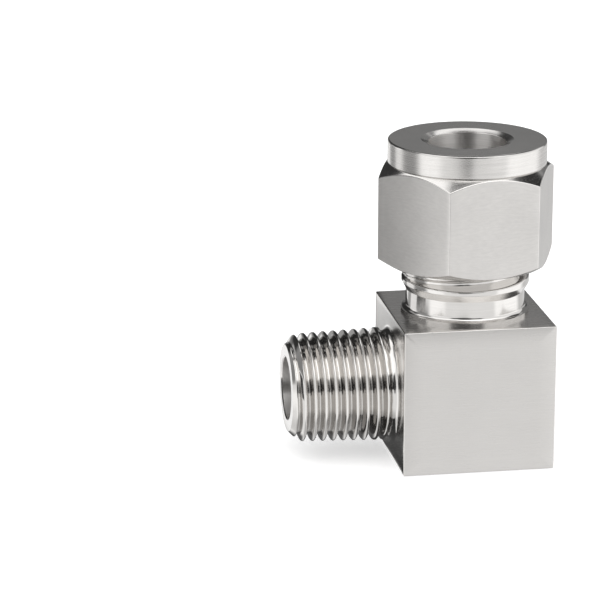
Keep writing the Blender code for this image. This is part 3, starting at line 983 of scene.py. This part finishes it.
class Studio:
    """The camera, the pale floor, the cards and the light tent."""

    BASE_LEVEL = 1.05
    PANELS = (
        # The bright roof, and the black wall behind that the steel's flat tops and threads mirror.
        Panel(0, 180, 32, 90, 1.5, 2.0),
        Panel(-75, 45, 33, 90, 1.9, 4.0),
        Panel(66, 88, 78, 90, 0.08, 3.0),
        Panel(66, 44, 30, 80, 0.03, 4.0),
        # Below the horizon: what the upright faces and the threads' undersides mirror.
        Panel(0, 180, -90, -50, 0.6, 12.0),
        Panel(80, 22, -48, -24, 0.15, 5.0),
        Panel(-12, 30, -50, 0, 1.4, 5.0),
        Panel(-158, 16, -50, -3, 1.4, 6.0),
        Panel(60, 35, -24, 0, 0.75, 2.0),
        Panel(108, 14, -50, 0, 1.1, 4.0),
        # Above it: bars and gaps that give the rounds their dark and bright streaks.
        Panel(78, 42, -5, 28, 0.22, 3.0),
        Panel(112, 26, 3, 40, 0.04, 4.0),
        Panel(28, 20, 30, 56, 0.04, 4.0),
        Panel(66, 9, -3, 8, 0.04, 2.0),
        Panel(158, 18, -4, 9, 1.35, 3.0),
        Panel(160, 24, 11, 34, 0.08, 3.0),
        Panel(-98, 30, 5, 29, 0.25, 7.0),
        Panel(-98, 28, 2.5, 19, 0.04, 2.0),
        Panel(-103, 12, -4, 36, 0.05, 5.0),
    )
    # Painted reflections: glowing cards that only the steel sees. The four dark reflection cards paint the
    # reflection of a second fitting. The shade cards paint shade, such as the fitting's shadow on the floor
    # behind it. hole_light paints a bright highlight in the hole's chamfer.
    CARDS = (
        Card("low_dark_reflection", (-24.0, -2.0, 3.4), (0.0, 11.6, 5.4), (0.06, 0.06), (0.1, 0.1)),
        Card("high_dark_reflection", (-24.0, -7.5, 8.2), (0.0, 17.0, 24.0), (0.28, 0.45), (0.3, 0.05)),
        Card("collar_dark_reflection", (-20.0, 12.0, 20.0), (10.0, 0.0, 8.0), (0.4, 0.4), (0.25, 0.1)),
        Card("neck_dark_reflection", (-16.0, 12.2, 7.5), (6.0, 0.0, 4.4), (0.4, 0.4), (0.2, 0.1)),
        Card("thread_shade", (-18.0, 12.4, 11.8), (13.0, 0.0, 10.0), (0.03, 0.03), (0.1, 0.05)),
        Card("left_shade", (-9.2, -6.5, 0.06), (2.5, 9.0, 0.0), (0.03, 0.08), (0.02, 0.02)),
        Card("back_shade", (-17.5, -1.5, 0.05), (21.5, 62.0, 0.0), (0.06, 0.8), (0.06, 0.06)),
        Card("front_shade", (-50.0, -200.0, 0.5), (48.0, 138.0, 0.0), (0.0, 0.0), (0.35, 0.35)),
        Card("hole_shade", (-3.3, -5.5, 34.0), (7.2, 7.4, 0.0), (0.02, 0.02), (0.25, 0.15)),
        Card("hole_light", (-1.0, 22.0, 43.0), (17.0, 0.0, 17.0), (1.35, 1.35), (0.15, 0.15)),
    )

    def build(self) -> None:
        """Build everything round the object."""
        self._camera()
        self._floor()
        for card in self.CARDS:
            card.stand()
        self._world()

    def _camera(self) -> None:
        """Place the camera as fitted to the photograph, with no shift."""
        fit = CameraFit()
        data = bpy.data.cameras.new("camera")
        data.lens = fit.lens
        data.sensor_width = fit.sensor
        data.clip_start, data.clip_end = fit.near, fit.far
        camera = new_item("camera", data)
        camera.location = fit.place
        camera.rotation_euler = (math.radians(90 - fit.down), 0.0, math.radians(-fit.right))
        bpy.context.scene.camera = camera

    def _floor(self) -> None:
        """Lay a pale floor that keeps the object's soft shadow."""
        size = FloorSizes()
        mesh = bpy.data.meshes.new("floor")
        ends = ((-1, -1), (1, -1), (1, 1), (-1, 1))
        mesh.from_pydata([(size.reach * x, size.reach * y, 0) for x, y in ends], [], [(0, 1, 2, 3)])
        floor = new_item("floor", mesh)
        floor.location.z = -size.drop
        material, tree = new_material("pale_floor")
        matt = tree.nodes.new("ShaderNodeBsdfDiffuse")
        matt.inputs["Color"].default_value = size.colour
        glow = tree.nodes.new("ShaderNodeEmission")
        path = tree.nodes.new("ShaderNodeLightPath")
        seen = add_math(tree, "MULTIPLY", path.outputs["Is Camera Ray"], size.glow)
        tree.links.new(seen, glow.inputs["Strength"])
        both = tree.nodes.new("ShaderNodeAddShader")
        tree.links.new(matt.outputs[0], both.inputs[0])
        tree.links.new(glow.outputs[0], both.inputs[1])
        tree.links.new(both.outputs[0], tree.nodes["Material Output"].inputs["Surface"])
        mesh.materials.append(material)
        floor.visible_glossy = False

    def _world(self) -> None:
        """Paint the tent's walls on the sky, and keep it white where the camera sees it."""
        world = bpy.data.worlds.new("light_tent")
        bpy.context.scene.world = world
        world.use_nodes = True
        tree = world.node_tree
        back = tree.nodes["Background"]
        place = tree.nodes.new("ShaderNodeTexCoord")
        parts = tree.nodes.new("ShaderNodeSeparateXYZ")
        tree.links.new(place.outputs["Generated"], parts.inputs[0])
        flat = tree.nodes.new("ShaderNodeCombineXYZ")
        tree.links.new(parts.outputs[0], flat.inputs[0])
        tree.links.new(parts.outputs[1], flat.inputs[1])
        heading = tree.nodes.new("ShaderNodeVectorMath")
        heading.operation = "NORMALIZE"
        tree.links.new(flat.outputs[0], heading.inputs[0])
        level = self.BASE_LEVEL
        for panel in self.PANELS:
            level = self._paint(tree, heading.outputs[0], parts.outputs[2], level, panel)
        path = tree.nodes.new("ShaderNodeLightPath")
        seen = add_math(tree, "SUBTRACT", 1.0, path.outputs["Is Camera Ray"])
        strength = add_math(tree, "MULTIPLY_ADD", level, seen, path.outputs["Is Camera Ray"])
        tree.links.new(strength, back.inputs["Strength"])
        back.inputs["Color"].default_value = (1.0, 1.0, 1.0, 1.0)

    def _paint(
        self,
        tree: Tree,
        heading: Socket,
        height: Socket,
        level: Socket | float,
        panel: Panel,
    ) -> Socket:
        """Paint one panel over the level so far.

        Args:
            tree: The world's node tree.
            heading: The flat direction looked in.
            height: The sine of the angle above the horizon.
            level: The level so far.
            panel: The panel.

        Returns:
            The new level.
        """
        low = [math.sin(math.radians(max(-90.0, panel.low + side * panel.soft))) for side in (-1, 1)]
        mask = add_range(tree, height, *low, 0.0, 1.0, True) if panel.low > -90 else 1.0
        if panel.half_width < 180:
            turn = math.radians(panel.azimuth)
            dot = tree.nodes.new("ShaderNodeVectorMath")
            dot.operation = "DOT_PRODUCT"
            dot.inputs[1].default_value = (math.cos(turn), math.sin(turn), 0.0)
            tree.links.new(heading, dot.inputs[0])
            wide = math.cos(math.radians(panel.half_width + panel.soft))
            narrow = math.cos(math.radians(max(0.0, panel.half_width - panel.soft)))
            facing = add_range(tree, dot.outputs["Value"], wide, narrow, 0.0, 1.0, True)
            mask = add_math(tree, "MULTIPLY", facing, mask)
        if panel.high < 90:
            high = [math.sin(math.radians(min(90.0, panel.high + side * panel.soft))) for side in (-1, 1)]
            mask = add_math(tree, "MULTIPLY", mask, add_range(tree, height, *high, 1.0, 0.0, True))
        change = add_math(tree, "MULTIPLY", add_math(tree, "SUBTRACT", panel.level, level), mask)
        return add_math(tree, "ADD", level, change)


BRUSHED = SteelFinish(
    "brushed_block", roughness=0.3, anisotropy=0.7, streak_length=3.0, streak_width=0.08,
    cloud_contrast=0.01,
)
SATIN_TOP = SteelFinish(
    "satin_block_top", roughness=0.25, anisotropy=0.1, streak_contrast=0.03, relief=0.0003,
)
SATIN_SIDE = SteelFinish(
    "satin_block_side", roughness=0.22, anisotropy=0.3, streak_contrast=0.03, relief=0.0003,
)
TURNED = SteelFinish(
    "turned_neck", roughness=0.12, anisotropy=0.6, streak_length=9.0, streak_contrast=0.06,
    roughness_spread=0.03,
)
CUT_THREAD = SteelFinish(
    "cut_thread", roughness=0.09, anisotropy=0.5, streak_length=9.0, streak_contrast=0.05,
    roughness_spread=0.03, relief=0.0002,
)
DRILLED = SteelFinish("drilled_bore", roughness=0.38, anisotropy=0.8, streak_length=9.0)
DRAWN = SteelFinish(
    "drawn_hexagon", roughness=0.36, anisotropy=0.3, streak_length=0.6, streak_width=0.2,
    streak_contrast=0.07,
)
COLLAR = SteelFinish(
    "turned_collar", roughness=0.26, anisotropy=0.75, streak_length=6.0, streak_width=0.16,
    streak_contrast=0.13,
)
FACED = SteelFinish(
    "faced_nut_top", roughness=0.17, anisotropy=0.3, streak_length=9.0, streak_contrast=0.03,
    relief=0.0003,
)
# Painted light: the nut's inside is a paler copy of the steel, so its bore and thread look brighter than
# the light alone makes them.
NUT_INSIDE_PAINTED_LIGHT = SteelFinish(
    "nut_inside_painted_light", colour=(0.82, 0.8, 0.78), roughness=0.36, anisotropy=1.0, streak_length=9.0,
    streak_contrast=0.15,
)
SHOULDER = SteelFinish(
    "turned_shoulder", roughness=0.17, anisotropy=0.3, streak_length=6.0, streak_contrast=0.04,
)
FERRULE = SteelFinish("turned_ferrule", roughness=0.18, anisotropy=0.5, pattern=Pattern.ROUND_Z)


def corners(bounds: tuple) -> list[list[float]]:
    """Give a box's two corners as plain lists of numbers."""
    return [list(corner) for corner in bounds]


def main() -> None:
    """Build the pieces in order, dress the ferrules and set up the studio."""
    logging.basicConfig(level=logging.INFO)
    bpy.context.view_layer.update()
    elbow = Elbow((SATIN_TOP, SATIN_SIDE, BRUSHED, TURNED, CUT_THREAD, DRILLED)).build()
    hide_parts("elbow_body")
    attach(elbow, "elbow")
    nut = Nut((DRAWN, COLLAR, FACED, NUT_INSIDE_PAINTED_LIGHT, SHOULDER)).build()
    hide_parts("nut")
    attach(nut, "nut")
    ferrule_steel = FERRULE.build()
    for name in ("front_ferrule", "back_ferrule"):
        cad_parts[name].data.materials.clear()
        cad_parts[name].data.materials.append(ferrule_steel)
        log.info("%s: dressed", name)
    Studio().build()
    bpy.context.scene.view_settings.view_transform = "Standard"


if __name__ == "__main__":
    main()
